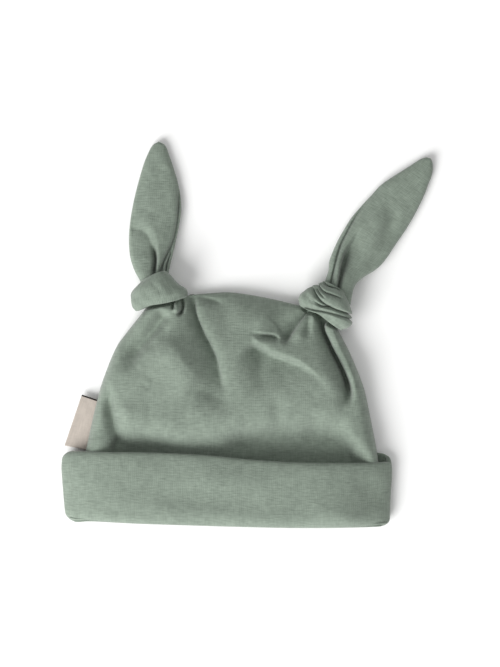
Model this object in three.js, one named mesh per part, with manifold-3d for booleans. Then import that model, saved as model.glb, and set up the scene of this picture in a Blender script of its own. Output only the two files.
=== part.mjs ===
// A baby hat of soft jersey with a turned-up cuff and two knotted ears, lying on its back.
// Millimetres. +X runs across the hat, +Y from the head opening to the ears, +Z up from the surface
// that it lies on. The origin is on that surface, under the middle of the cuff.

import * as THREE from "three";
import Module from "manifold-3d";
import { mergeVertices } from "three/addons/utils/BufferGeometryUtils.js";

const wasm = await Module();
wasm.setup();

// Driving sizes
const clothWall = 1.6; // two plies of jersey, sewn as one wall
const fitGap = 0.35; // left between pieces that touch
const edgeHeight = 3.4; // of the side folds above the surface
const seamHalf = 1.9; // half the thickness of the cloth pressed together at a seam
const backRoll = 9; // how far in from an edge the back reaches the surface
const frontRoll = 40; // how far in from an edge the front reaches its full height
const cuffLift = 2.9; // of the crown's back, where it lies on the cuff's back
const cuffHeight = 20.5; // of the cuff's front above the surface
const cuffWall = 2.2;
const leafDepth = 24.8; // how far the cuff's inner leaf runs up inside the hat
const foldCorner = 5.5; // how far the ends draw in at the cuff's fold
const topCorner = 3.2; // and at its top edge

const crownColumns = 30;
const crownRows = 18;
const cuffColumns = 26;
const knotColumns = 26;
const knotRows = 15;
const earColumns = 12;
const earRows = 14;

const green = { color: 0x8f9f90, roughness: 0.95, metalness: 0 };
const cream = { color: 0xcfc4b8, roughness: 0.9, metalness: 0 };

// Outlines seen from above
const crownLeft = curve([-77.4, 8.5], [-74.4, 22], [-68.6, 48], [-59, 74], [-47, 92], [-41, 99]);
const crownRight = curve([80, 5.7], [78.3, 20], [74.2, 45], [68, 63], [60.5, 80], [56, 89]);
const crownMouth = curve([-77.4, 8.5], [-40, 7.1], [0, 6.3], [40, 5.7], [80, 5.7]);
const crownTop = curve(
  [-41, 99], [-34, 103.5], [-25, 102.2], [-8, 104.2], [8, 103.6],
  [24, 100.4], [38, 97.2], [49, 96.5], [56, 89],
);
const cuffTopFront = curve([-88, 19.6], [-45, 20.2], [0, 18], [40, 14.9], [70, 14.6], [88, 15]);
const cuffTopBack = curve([-88, 19.6], [-20, 20.5], [40, 20.6], [76, 19.6], [84, 18], [88, 15]);
const cuffFold = curve([-88, -16.4], [-40, -18.2], [30, -19.6], [88, -19.4]);

// Height of the crown's front along its length, from the mouth to the top edge
const crownHeights = [
  { along: 0, height: 14.4 },
  { along: 0.12, height: 14.6 },
  { along: 0.4, height: 20.5 },
  { along: 0.7, height: 19 },
  { along: 1, height: 12 },
];

// Folds in the crown's front: a ridge where height is positive, a valley where it is negative
const crownFolds = [
  { name: "left neck valley", from: [-20, 95], via: [-14, 78], to: [-6, 50], height: -4, width: 5.5 },
  { name: "left neck ridge", from: [-26, 93], via: [-27, 80], to: [-24, 64], height: 2.2, width: 4.5 },
  { name: "left side valley", from: [-33, 92], via: [-50, 68], to: [-58, 27], height: -2.6, width: 5 },
  { name: "upper lobe", from: [0, 95], via: [14, 94], to: [31, 90], height: 3.6, width: 8 },
  { name: "lobe crease", from: [42, 93], via: [33, 76], to: [17, 80], height: -3.8, width: 4.2 },
  { name: "diagonal ridge", from: [13, 78], via: [34, 71], to: [52, 55], height: 2.4, width: 4.5 },
  { name: "pleat under the right knot", from: [43, 90], via: [41, 84], to: [39, 76], height: 2, width: 3.6 },
  { name: "deep right crease", from: [51, 89], via: [55, 72], to: [62, 52], height: -5, width: 4.4 },
  { name: "right side ridge", from: [57, 84], via: [65, 68], to: [70, 46], height: 2.4, width: 3.6 },
  { name: "middle valley", from: [15, 74], via: [11, 60], to: [12, 46], height: -2.2, width: 7 },
  { name: "hollow along the cuff", from: [-62, 24], via: [0, 22], to: [62, 18], height: -2, width: 7 },
];

// Each knot: where its middle is, which way its wraps run, and its sections from the crown to the ear.
// left and right are how far a section reaches along the wraps, thick is its height.
const leftKnot = {
  middle: [-35.7, 104.6, 10.8],
  turn: 15,
  sections: [
    { along: -8.6, left: 9, right: 12, thick: 12 },
    { along: -7, left: 14, right: 13.8, thick: 17.5 },
    { along: -2.5, left: 15.6, right: 13.4, thick: 20.5 },
    { along: 2.5, left: 14.6, right: 10.4, thick: 20.5 },
    { along: 6.5, left: 13, right: 8.9, thick: 18.5 },
    { along: 8.8, left: 10, right: 7.6, thick: 14.5 },
    { along: 9.8, left: 7, right: 5.6, thick: 10 },
  ],
  creases: [
    { name: "rolled edge", at: -5.6, slope: 0.02, depth: 0.7, width: 1.2 },
    { name: "ear side roll", at: 7, slope: 0.03, depth: 0.5, width: 1.2 },
  ],
};
const rightKnot = {
  middle: [51, 97.7, 11.6],
  turn: -28,
  sections: [
    { along: -8.8, left: 8, right: 12, thick: 12 },
    { along: -6.8, left: 12.8, right: 15, thick: 18.5 },
    { along: -2, left: 13.8, right: 15.6, thick: 22 },
    { along: 3, left: 13.6, right: 13.8, thick: 22 },
    { along: 7.5, left: 12, right: 10.6, thick: 19.5 },
    { along: 10.6, left: 8.4, right: 7.4, thick: 14 },
    { along: 11.8, left: 5, right: 4.6, thick: 9 },
  ],
  creases: [
    { name: "lowest wrap", at: -4.6, slope: 0.05, depth: 1.1, width: 0.9 },
    { name: "second wrap", at: -1.2, slope: -0.06, depth: 1.3, width: 1 },
    { name: "third wrap", at: 3, slope: -0.14, depth: 1.1, width: 0.9 },
    { name: "top wrap", at: 7.4, slope: -0.12, depth: 0.9, width: 0.9 },
  ],
};

// Each ear: where it leaves its knot, which way it points, and its sections from the knot to the tip.
// low is how high the underside is, thick is the height of the cloth over it.
const leftEar = {
  root: [-38.4, 108],
  turn: -1.5,
  sections: [
    { along: -4, left: 6.5, right: 6.5, low: 6.5, thick: 8.5 },
    { along: 3, left: 7.8, right: 7.3, low: 6, thick: 9 },
    { along: 9, left: 11.6, right: 7.6, low: 4.6, thick: 8.6 },
    { along: 17, left: 13.5, right: 9.4, low: 3, thick: 7.8 },
    { along: 30, left: 14.3, right: 12, low: 1.5, thick: 7 },
    { along: 42, left: 13.1, right: 12.7, low: 0.5, thick: 6.6 },
    { along: 51, left: 11.1, right: 11.5, low: 0.3, thick: 6.2 },
    { along: 59, left: 8.8, right: 9, low: 0.3, thick: 5.8 },
    { along: 67.5, left: 6.4, right: 6.2, low: 0.4, thick: 5.2 },
    { along: 72.5, left: 4.2, right: 3.8, low: 0.6, thick: 4.4 },
    { along: 75.4, left: 1.6, right: 1.6, low: 1.2, thick: 3 },
  ],
  folds: [
    { name: "gather under the knot", from: [-1, 2], via: [-2, 12], to: [-4, 24], height: -3, width: 2.2 },
    { name: "right gather", from: [3.4, 2], via: [5, 12], to: [8, 24], height: -1.8, width: 1.4 },
  ],
};
const rightEar = {
  root: [58.9, 108.8],
  turn: -36.5,
  sections: [
    { along: -7, left: 6.5, right: 5.5, low: 7, thick: 9 },
    { along: 0, left: 8.8, right: 5.8, low: 6.6, thick: 9.4 },
    { along: 6.6, left: 11.5, right: 7.6, low: 5, thick: 9 },
    { along: 15.5, left: 13.5, right: 10.3, low: 3, thick: 8 },
    { along: 25, left: 14.7, right: 11.5, low: 1.6, thick: 7.4 },
    { along: 35, left: 15.4, right: 11.7, low: 0.6, thick: 7 },
    { along: 46, left: 15, right: 10.3, low: 0.3, thick: 6.6 },
    { along: 58, left: 12.3, right: 8.7, low: 0.3, thick: 6.2 },
    { along: 66, left: 9.3, right: 6.9, low: 0.3, thick: 5.6 },
    { along: 73.5, left: 6.6, right: 4.8, low: 0.4, thick: 5 },
    { along: 79.5, left: 3.4, right: 2.2, low: 0.8, thick: 4 },
    { along: 81.6, left: 1.2, right: 0.8, low: 1.4, thick: 2.8 },
  ],
  folds: [
    { name: "gather under the knot", from: [-3, 0], via: [-4, 12], to: [-6, 28], height: -3, width: 2 },
    { name: "crown of the ear", from: [3, 4], via: [3, 24], to: [1, 46], height: 1.2, width: 4 },
  ],
};

// The label: a tape folded in half, its fold outwards
const label = { corner: [-76.9, 50], turn: -18.9, reach: 13, length: 27, leaf: 0.5, low: 2.9 };

function curve(...points) {
  return new THREE.SplineCurve(points.map(([x, y]) => new THREE.Vector2(x, y)));
}

// The value of a table's column at a place along it, eased between rows
function tableAt(rows, key, along) {
  let row = 1;
  while (row < rows.length - 1 && rows[row].along < along) row++;
  const low = rows[row - 1];
  const high = rows[row];
  const share = THREE.MathUtils.clamp((along - low.along) / (high.along - low.along), 0, 1);
  const before = rows[Math.max(row - 2, 0)];
  const after = rows[Math.min(row + 1, rows.length - 1)];
  const span = high.along - low.along;
  const slopeIn = ((high[key] - before[key]) / (high.along - before.along)) * span;
  const slopeOut = ((after[key] - low[key]) / (after.along - low.along)) * span;
  const s2 = share * share;
  const s3 = s2 * share;
  return (
    low[key] * (2 * s3 - 3 * s2 + 1) +
    slopeIn * (s3 - 2 * s2 + share) +
    high[key] * (3 * s2 - 2 * s3) +
    slopeOut * (s3 - s2)
  );
}

// The y of a curve that runs from left to right, at x
function curveHeight(line, x) {
  let low = 0;
  let high = 1;
  for (let i = 0; i < 24; i++) {
    const middle = (low + high) / 2;
    if (line.getPoint(middle).x < x) low = middle;
    else high = middle;
  }
  return line.getPoint(low).y;
}

// What the folds add to the height of the cloth at a point
function foldHeight(folds, x, y) {
  const here = new THREE.Vector2(x, y);
  return folds.reduce((sum, fold) => {
    const ends = [fold.from, fold.via, fold.to].map(([a, b]) => new THREE.Vector2(a, b));
    const line = new THREE.QuadraticBezierCurve(...ends).getPoints(8);
    const nearest = Math.min(...line.slice(1).map((end, i) => distanceToSpan(here, line[i], end)));
    return sum + fold.height * Math.exp(-((nearest / fold.width) ** 2));
  }, 0);
}

function distanceToSpan(here, start, end) {
  const span = end.clone().sub(start);
  const share = THREE.MathUtils.clamp(here.clone().sub(start).dot(span) / span.lengthSq(), 0, 1);
  return here.distanceTo(start.clone().addScaledVector(span, share));
}

// A closed surface through rings of the same number of points, closed across both ends, or run round
// so that the last ring meets the first
function loft(rings, runsRound = false) {
  const count = rings[0].length;
  const half = count / 2;
  const index = [];
  const at = (ring, i) => (ring % rings.length) * count + ((i + count) % count);
  const spans = runsRound ? rings.length : rings.length - 1;
  for (let ring = 0; ring < spans; ring++)
    for (let i = 0; i < count; i++) {
      index.push(at(ring, i), at(ring, i + 1), at(ring + 1, i + 1));
      index.push(at(ring, i), at(ring + 1, i + 1), at(ring + 1, i));
    }
  const closeAcross = (ring, turned) => {
    for (let i = 0; i < half; i++) {
      const corners = [at(ring, i), at(ring, i + 1), at(ring, -i - 1), at(ring, -i)];
      const faces = [
        [corners[0], corners[2], corners[1]],
        [corners[0], corners[3], corners[2]],
      ];
      for (const face of faces)
        if (new Set(face).size === 3) index.push(...(turned ? face.reverse() : face));
    }
  };
  if (!runsRound) {
    closeAcross(0, false);
    closeAcross(rings.length - 1, true);
  }
  const geometry = new THREE.BufferGeometry();
  geometry.setAttribute("position", new THREE.Float32BufferAttribute(rings.flat(2), 3));
  geometry.setIndex(index);
  return facingOut(geometry);
}

// Turns every face round if the surface is inside out
function facingOut(geometry) {
  const position = geometry.attributes.position;
  const index = geometry.index.array;
  const [a, b, c] = [new THREE.Vector3(), new THREE.Vector3(), new THREE.Vector3()];
  let volume = 0;
  for (let i = 0; i < index.length; i += 3) {
    a.fromBufferAttribute(position, index[i]);
    b.fromBufferAttribute(position, index[i + 1]);
    c.fromBufferAttribute(position, index[i + 2]);
    volume += a.dot(b.cross(c));
  }
  if (volume < 0)
    for (let i = 0; i < index.length; i += 3) [index[i + 1], index[i + 2]] = [index[i + 2], index[i + 1]];
  return geometry;
}

function solidFrom(geometry) {
  const merged = mergeVertices(geometry, 1e-4);
  return new wasm.Manifold(
    new wasm.Mesh({
      numProp: 3,
      vertProperties: Float32Array.from(merged.attributes.position.array),
      triVerts: Uint32Array.from(merged.index.array),
    }),
  );
}

function geometryFrom(solid) {
  const mesh = solid.getMesh();
  const geometry = new THREE.BufferGeometry();
  geometry.setAttribute("position", new THREE.Float32BufferAttribute(mesh.vertProperties, 3));
  geometry.setIndex(Array.from(mesh.triVerts));
  return geometry;
}

// Rises from 0 at an edge to 1 at `reach` from it, steeply at first, as cloth rolls over a fold
function rolled(distance, reach, power) {
  const left = 1 - Math.min(distance / reach, 1);
  return Math.pow(1 - left * left, power);
}

// Columns from 0 to 1, closer together near both sides
function columnShare(i, count) {
  const t = i / count;
  return t - (0.55 * Math.sin(2 * Math.PI * t)) / (2 * Math.PI);
}

// A place on the crown seen from above: across from its left side to its right, along from its mouth
// to its top edge
function crownPlan(across, along) {
  const left = crownLeft.getPointAt(along);
  const right = crownRight.getPointAt(along);
  const low = crownMouth.getPointAt(across);
  const high = crownTop.getPointAt(across);
  const corners = [crownMouth.getPoint(0), crownMouth.getPoint(1), crownTop.getPoint(0), crownTop.getPoint(1)];
  const blend = (key) =>
    (1 - across) * left[key] + across * right[key] + (1 - along) * low[key] + along * high[key] -
    (1 - along) * ((1 - across) * corners[0][key] + across * corners[1][key]) -
    along * ((1 - across) * corners[2][key] + across * corners[3][key]);
  return { x: blend("x"), y: blend("y"), width: left.distanceTo(right) };
}

// How near a place is to a knot, from 1 at its middle to 0 away from it
function nearKnot(x, y) {
  return [leftKnot, rightKnot].reduce((sum, knot) => {
    const far = Math.hypot(knot.middle[0] - x, knot.middle[1] - y);
    return sum + Math.exp(-((far / 15) ** 2));
  }, 0);
}

// The heights of the crown's front and back at a place
function crownSurface(across, along, inset) {
  const { x, y, width } = crownPlan(across, along);
  const toSide = Math.min(across, 1 - across) * width;
  const toTop = (1 - along) * 92;
  const toEdge = Math.pow(Math.pow(toSide + 0.01, -3) + Math.pow(toTop + 0.01, -3), -1 / 3);
  const gathered = nearKnot(x, y);
  const onCuff = cuffLift * (1 - THREE.MathUtils.smoothstep(y, 21.5, 34));
  const full = tableAt(crownHeights, "height", along) - edgeHeight;
  const edgeFade = rolled(toEdge, 10, 1);
  const back = Math.max(0, (edgeHeight - seamHalf) * (1 - rolled(toEdge, backRoll, 0.8)) + onCuff + 4 * gathered);
  const middle = edgeHeight + onCuff + 5 * gathered;
  const front =
    middle + seamHalf * 0.5 + full * rolled(toEdge, frontRoll, 0.72) + 3.5 * gathered +
    edgeFade * foldHeight(crownFolds, x, y);
  const lowest = back + 2 * clothWall + 0.6;
  return { x, y, middle, back: back + inset, front: Math.max(front, lowest) - inset };
}

// One ring round the crown: along the front from left to right, and along the back to the left again
function crownRing(along, inset) {
  const width = crownPlan(0.5, along).width;
  const margin = inset / width;
  const ring = [];
  const place = (i) => crownSurface(margin + (1 - 2 * margin) * columnShare(i, crownColumns), along, inset);
  for (let i = 0; i <= crownColumns; i++) {
    const spot = place(i);
    const atSide = i === 0 || i === crownColumns;
    ring.push([spot.x, spot.y, atSide ? spot.middle : spot.front]);
  }
  for (let i = crownColumns - 1; i > 0; i--) {
    const spot = place(i);
    ring.push([spot.x, spot.y, spot.back]);
  }
  return ring;
}

function makeCrown() {
  const rings = [];
  for (let row = crownRows; row >= 0; row--) rings.push(crownRing((0.975 * row) / crownRows, clothWall));
  for (let row = 0; row <= crownRows; row++) rings.push(crownRing(row / crownRows, 0));
  return loft(rings);
}

// The outline of the hat's body and of the cuff where the cuff lies over it: how far each reaches to
// the left and right, and the heights of its front and back
function bodyOval(share) {
  const corner = foldCorner * nearEnd(share, 0.16);
  return {
    left: -83.6 + 6.2 * share + corner,
    right: 83.2 - 3.2 * share - corner,
    front: cuffHeight - 4.4 - 1.7 * share,
    back: cuffLift,
    depth: () => leafDepth,
  };
}
function cuffOval(share) {
  const corner = foldCorner * nearEnd(share, 0.16) + topCorner * nearEnd(1 - share, 0.12);
  return {
    left: -86.6 - 1.3 * share + corner,
    right: 84.9 + 2.2 * share - corner,
    front: cuffHeight - 3 * nearEnd(share, 0.2),
    back: 0,
    depth: (x, side) => curveHeight(side > 0 ? cuffTopFront : cuffTopBack, x) - curveHeight(cuffFold, x),
  };
}

// 1 at the end of a span, falling to 0 at `reach` from it
function nearEnd(share, reach) {
  return Math.pow(1 - Math.min(share / reach, 1), 2);
}

// The cuff's section, from the rolled top edge down its outside, round the fold and up the inner leaf.
// up is the place between the fold, 0, and the top edge, 1.
const cuffSection = [
  { up: 1, oval: cuffOval, inset: 1.1 },
  { up: 0.96, oval: cuffOval, inset: 0.2 },
  { up: 0.85, oval: cuffOval, inset: 0 },
  { up: 0.5, oval: cuffOval, inset: 0 },
  { up: 0.16, oval: cuffOval, inset: 0 },
  { up: 0.05, oval: cuffOval, inset: 0.6 },
  { up: 0, oval: cuffOval, inset: 2.4 },
  { up: 0.03, oval: bodyOval, inset: 1.3 },
  { up: 0.12, oval: bodyOval, inset: clothWall },
  { up: 0.55, oval: bodyOval, inset: clothWall },
  { up: 1, oval: bodyOval, inset: clothWall },
  { up: 1, oval: bodyOval, inset: 0 },
  { up: 0.55, oval: bodyOval, inset: 0 },
  { up: 0.12, oval: bodyOval, inset: 0.05 },
  { up: 0.14, oval: cuffOval, inset: cuffWall },
  { up: 0.55, oval: cuffOval, inset: cuffWall },
  { up: 0.96, oval: cuffOval, inset: 2 },
];

// One ring round the cuff or the leaf inside it
function cuffRing({ up, oval, inset }) {
  const { left, right, front, back, depth } = oval(up);
  const ring = [];
  const place = (across, side) => {
    const x = left + inset + (right - left - 2 * inset) * across;
    const toSide = Math.min(across, 1 - across) * (right - left);
    const y = curveHeight(cuffFold, x) + up * depth(x, side);
    const lowEdge = back + inset + (edgeHeight + 1.2 - inset) * (1 - rolled(toSide, 7, 0.8));
    const highEdge = front - inset - (front - edgeHeight - 1.2 - inset) * (1 - rolled(toSide, 46, 0.62));
    return [x, y, side > 0 ? highEdge : side < 0 ? lowEdge : back + edgeHeight + 1.2];
  };
  for (let i = 0; i <= cuffColumns; i++) {
    const atSide = i === 0 || i === cuffColumns;
    ring.push(place(columnShare(i, cuffColumns), atSide ? 0 : 1));
  }
  for (let i = cuffColumns - 1; i > 0; i--) ring.push(place(columnShare(i, cuffColumns), -1));
  return ring;
}

function makeCuff() {
  return loft(cuffSection.map(cuffRing), true);
}

// A point given across and along a piece's own direction, in the hat's frame
function turned([x, y], turn, across, along) {
  const angle = THREE.MathUtils.degToRad(turn);
  return [
    x + across * Math.cos(angle) - along * Math.sin(angle),
    y + across * Math.sin(angle) + along * Math.cos(angle),
  ];
}

// A knot as one solid of wound cloth, grown outwards by `grow`
function makeKnot(knot, grow = 0) {
  const first = knot.sections[0].along;
  const last = knot.sections.at(-1).along;
  const rings = [];
  for (let row = 0; row <= knotRows; row++) {
    const along = first + ((last - first) * row) / knotRows;
    const [left, right, thick] = ["left", "right", "thick"].map((key) => tableAt(knot.sections, key, along));
    const stretched = along + (grow * (2 * row - knotRows)) / knotRows;
    const ring = [];
    for (let i = 0; i < knotColumns; i++) {
      const angle = Math.PI - (2 * Math.PI * i) / knotColumns;
      const side = Math.cos(angle);
      const reach = side < 0 ? left : right;
      const across = reach * side;
      const crease = knot.creases.reduce((sum, one) => {
        const far = along - one.at - one.slope * across;
        return sum + one.depth * Math.exp(-((far / one.width) ** 2));
      }, 0);
      const rounding = 1 - (crease - grow) / reach;
      const height = Math.sign(Math.sin(angle)) * Math.pow(Math.abs(Math.sin(angle)), 0.86);
      const spot = turned(knot.middle, knot.turn, across * rounding, stretched);
      ring.push([...spot, knot.middle[2] + height * (thick / 2 - crease + grow)]);
    }
    rings.push(ring);
  }
  return loft(rings);
}

// An ear: the two walls of cloth lying on each other, closed along the side seam and at the tip
function makeEar(ear) {
  const first = ear.sections[0].along;
  const last = ear.sections.at(-1).along;
  const rings = [];
  for (let row = 0; row <= earRows; row++) {
    const share = row / earRows;
    const along = first + (last - first) * (1 - Math.pow(1 - share, 1.25));
    const [left, right, low, thick] = ["left", "right", "low", "thick"].map((key) =>
      tableAt(ear.sections, key, along),
    );
    const ring = [];
    const place = (i, side) => {
      const across = -left + (left + right) * columnShare(i, earColumns);
      const toSide = Math.min(across + left, right - across);
      const bulge = rolled(toSide, (left + right) / 2, 0.6);
      const seam = low + thick * 0.42;
      const folded = foldHeight(ear.folds, across, along) * rolled(toSide, 5, 1);
      const top = Math.max(seam + 0.9 + (thick * 0.58 - 0.9) * bulge + folded, low + 1.2);
      const under = seam - 0.9 - (thick * 0.42 - 0.9) * bulge;
      const height = side > 0 ? top : side < 0 ? under : seam;
      return [...turned(ear.root, ear.turn, across, along), height];
    };
    for (let i = 0; i <= earColumns; i++) ring.push(place(i, i === 0 || i === earColumns ? 0 : 1));
    for (let i = earColumns - 1; i > 0; i--) ring.push(place(i, -1));
    rings.push(ring);
  }
  return loft(rings);
}

// The label's section is a narrow U, its fold to the left, pushed along the side seam
function makeLabel() {
  const { corner, turn, reach, length, leaf, low } = label;
  const outside = 2.4 * leaf;
  const section = new THREE.Shape();
  section.moveTo(outside / 2, 0);
  section.absarc(outside / 2, outside / 2, outside / 2, -Math.PI / 2, Math.PI / 2, true);
  section.lineTo(reach, outside);
  section.lineTo(reach, outside - leaf);
  section.lineTo(outside / 2, outside - leaf);
  section.lineTo(outside / 2, leaf);
  section.lineTo(reach, leaf);
  section.lineTo(reach, 0);
  const geometry = new THREE.ExtrudeGeometry(section, { depth: length, bevelEnabled: false, curveSegments: 6 });
  geometry.deleteAttribute("normal");
  geometry.deleteAttribute("uv");
  geometry.rotateX(Math.PI / 2);
  geometry.rotateZ(THREE.MathUtils.degToRad(turn));
  geometry.translate(corner[0], corner[1], low);
  return mergeVertices(geometry, 1e-4);
}

// All that lies to the right of the crown's left side, as a block that trims the label
function makeLabelTrim() {
  const side = crownLeft.getPoints(24).map(({ x, y }) => new THREE.Vector2(x - fitGap, y));
  const outline = new THREE.Shape([...side, new THREE.Vector2(0, 99), new THREE.Vector2(0, 8)]);
  const geometry = new THREE.ExtrudeGeometry(outline, { depth: 12, bevelEnabled: false });
  geometry.deleteAttribute("normal");
  geometry.deleteAttribute("uv");
  return geometry;
}

const grownKnots = solidFrom(makeKnot(leftKnot, fitGap)).add(solidFrom(makeKnot(rightKnot, fitGap)));
const crownSolid = solidFrom(makeCrown()).subtract(grownKnots);
const labelSolid = solidFrom(makeLabel()).subtract(solidFrom(makeLabelTrim()));

// The largest of the bodies that a cut leaves
function largest(solid) {
  return solid.decompose().reduce((best, body) => (body.volume() > best.volume() ? body : best));
}

const hat = new THREE.Group();
function addPiece(name, geometry, finish) {
  const piece = new THREE.Mesh(geometry, new THREE.MeshStandardMaterial(finish));
  piece.name = name;
  hat.add(piece);
}

addPiece("crown", geometryFrom(largest(crownSolid)), green);
addPiece("cuff", makeCuff(), green);
addPiece("knot_left", makeKnot(leftKnot), green);
addPiece("knot_right", makeKnot(rightKnot), green);
addPiece("ear_left", geometryFrom(largest(solidFrom(makeEar(leftEar)).subtract(grownKnots))), green);
addPiece("ear_right", geometryFrom(largest(solidFrom(makeEar(rightEar)).subtract(grownKnots))), green);
addPiece("label", geometryFrom(largest(labelSolid)), cream);

export default hat;
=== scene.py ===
# A baby hat of soft jersey, with a turned-up cuff and two knotted ears, lying on its back.
# Shapes are worked out in millimetres in the frame's own axes and made in metres.
import bpy
import math
import numpy as np
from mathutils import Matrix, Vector


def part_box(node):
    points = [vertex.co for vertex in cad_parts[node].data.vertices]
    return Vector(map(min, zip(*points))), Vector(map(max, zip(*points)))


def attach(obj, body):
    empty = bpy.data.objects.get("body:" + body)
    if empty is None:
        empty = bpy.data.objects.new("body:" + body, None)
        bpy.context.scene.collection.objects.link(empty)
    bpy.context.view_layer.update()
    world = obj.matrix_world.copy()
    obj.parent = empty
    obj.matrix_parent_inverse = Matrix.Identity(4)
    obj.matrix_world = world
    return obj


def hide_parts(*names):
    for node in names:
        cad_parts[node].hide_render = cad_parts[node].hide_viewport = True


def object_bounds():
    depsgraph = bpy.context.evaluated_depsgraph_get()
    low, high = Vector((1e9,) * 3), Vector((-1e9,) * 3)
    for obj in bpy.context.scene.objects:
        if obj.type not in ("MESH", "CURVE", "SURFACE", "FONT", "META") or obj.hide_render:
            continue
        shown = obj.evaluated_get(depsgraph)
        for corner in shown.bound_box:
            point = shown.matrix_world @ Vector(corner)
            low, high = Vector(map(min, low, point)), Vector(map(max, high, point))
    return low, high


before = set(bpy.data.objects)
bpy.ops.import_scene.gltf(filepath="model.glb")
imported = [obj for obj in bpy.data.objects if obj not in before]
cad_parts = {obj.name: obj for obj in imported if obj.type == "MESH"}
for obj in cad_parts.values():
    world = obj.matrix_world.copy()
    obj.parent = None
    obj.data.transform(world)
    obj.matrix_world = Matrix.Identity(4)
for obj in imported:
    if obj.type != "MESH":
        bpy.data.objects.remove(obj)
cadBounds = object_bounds()
mm = 0.001


def boxMm(node):  # a CAD node's lowest and highest corner, in millimetres
    low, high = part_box(node)
    return np.array(low) / mm, np.array(high) / mm


# Camera, light and floor

studio = {
    "distance": 1500,  # of the camera above the hat
    "fieldHeight": 350.5,  # of what the camera sees, top to bottom
    "aimShift": (1.4, 0.4),  # from the middle of the hat's box
    "aimHeight": 9,
    "worldGrey": 1.0,
    "worldStrength": 0.5,
    "keyFrom": (-1170, -1250, 1250),
    "keySize": 1600,
    "keyPower": 68.0,
    "fillFrom": (250, 500, 1100),
    "fillSize": 900,
    "fillPower": 1.0,
    "floorColor": (0.93, 0.93, 0.925),
    "floorRoughness": 0.9,
    "floorSize": 6,  # metres
    "floorDrop": 0.2,  # below the hat
    "sensor": 36,
    "clip": (0.01, 20),  # metres
}


def addLight(name, place, size, power, aim):
    data = bpy.data.lights.new(name, "AREA")
    data.shape = "SQUARE"
    data.size = size * mm
    data.energy = power
    light = bpy.data.objects.new(name, data)
    bpy.context.scene.collection.objects.link(light)
    light.location = Vector(place) * mm
    light.rotation_euler = (Vector(aim) * mm - light.location).to_track_quat("-Z", "Y").to_euler()


def setStudio():
    scene = bpy.context.scene
    low, high = cadBounds
    middle = (Vector(low) + Vector(high)) / 2 / mm
    aim = (middle.x + studio["aimShift"][0], middle.y + studio["aimShift"][1], studio["aimHeight"])
    data = bpy.data.cameras.new("camera")
    data.sensor_fit = "VERTICAL"
    data.sensor_height = studio["sensor"]
    data.lens = data.sensor_height * studio["distance"] / studio["fieldHeight"]
    data.clip_start, data.clip_end = studio["clip"]
    camera = bpy.data.objects.new("camera", data)
    scene.collection.objects.link(camera)
    camera.location = Vector((aim[0], aim[1], aim[2] + studio["distance"])) * mm
    scene.camera = camera

    addLight("key", studio["keyFrom"], studio["keySize"], studio["keyPower"], aim)
    addLight("fill", studio["fillFrom"], studio["fillSize"], studio["fillPower"], aim)

    world = bpy.data.worlds.new("studioWorld")
    scene.world = world
    world.use_nodes = True
    background = world.node_tree.nodes["Background"]
    background.inputs["Color"].default_value = (studio["worldGrey"],) * 3 + (1,)
    background.inputs["Strength"].default_value = studio["worldStrength"]
    scene.view_settings.view_transform = "Standard"

    bpy.ops.object.select_all(action="DESELECT")
    bpy.ops.mesh.primitive_plane_add(size=studio["floorSize"], location=(0, 0, -studio["floorDrop"] * mm))
    floor = bpy.context.object
    floor.name = "floor"
    bpy.ops.object.transform_apply(location=True, rotation=True, scale=True)
    paint = bpy.data.materials.new("floorPaint")
    paint.use_nodes = True
    shader = paint.node_tree.nodes["Principled BSDF"]
    shader.inputs["Base Color"].default_value = studio["floorColor"] + (1,)
    shader.inputs["Roughness"].default_value = studio["floorRoughness"]
    floor.data.materials.append(paint)
    print("studio set")


# Curves, folds and cloth meshes

def lineThrough(points, count=24):  # a smooth line through the points given
    p = np.array(points, float)
    p = np.vstack([2 * p[0] - p[1], p, 2 * p[-1] - p[-2]])
    t = np.linspace(0, len(points) - 1, count)
    i = np.minimum(t.astype(int), len(points) - 2)
    f = (t - i)[:, None]
    a, b, c, d = p[i], p[i + 1], p[i + 2], p[i + 3]
    bent = (2 * a - 5 * b + 4 * c - d) * f**2
    return 0.5 * (2 * b + (c - a) * f + bent + (3 * b - a - 3 * c + d) * f**3)


def alongLine(points, shares):  # places at shares of the line's length
    line = lineThrough(points, 400)
    run = np.concatenate([[0], np.cumsum(np.hypot(*np.diff(line, axis=0).T))])
    return np.stack([np.interp(shares, run / run[-1], line[:, k]) for k in (0, 1)], -1)


def ramp(low, high, value):  # 0 below low, 1 above high, eased between
    t = np.clip((value - low) / (high - low), 0, 1)
    return t * t * (3 - 2 * t)


def mix(a, b, share):
    return a + (b - a) * share


def tableAt(rows, place):  # a table's columns at a place in its first one, eased
    table = np.array(rows, float)
    smooth = lineThrough(table, 300)
    order = np.maximum.accumulate(smooth[:, 0])
    return [np.interp(place, order, smooth[:, k]) for k in range(1, table.shape[1])]


def besideLine(x, y, line):  # how far from a line, positive on its left hand, and the share along it
    nearest = np.full(x.shape, 1e9)
    side = np.ones(x.shape)
    share = np.zeros(x.shape)
    steps = len(line) - 1
    for i in range(steps):
        start, way = line[i], line[i + 1] - line[i]
        f = np.clip(((x - start[0]) * way[0] + (y - start[1]) * way[1]) / (way @ way), 0, 1)
        offX, offY = x - start[0] - f * way[0], y - start[1] - f * way[1]
        far = np.hypot(offX, offY)
        closer = far < nearest
        nearest = np.where(closer, far, nearest)
        side = np.where(closer, np.where(way[0] * offY > way[1] * offX, 1.0, -1.0), side)
        share = np.where(closer, (i + f) / steps, share)
    return nearest * side, share


# A fold is a line with a height, above 0 for a ridge and below for a valley. left and right are how
# wide it is on each hand, at the line's start and end. fade is how much of the line it takes to
# rise at its start and to die out at its end.
def fold(name, line, height, left, right, fade=(0, 0.3), power=1.6):
    return {"name": name, "line": lineThrough(line), "height": height, "left": left, "right": right,
            "fade": fade, "power": power}


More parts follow.
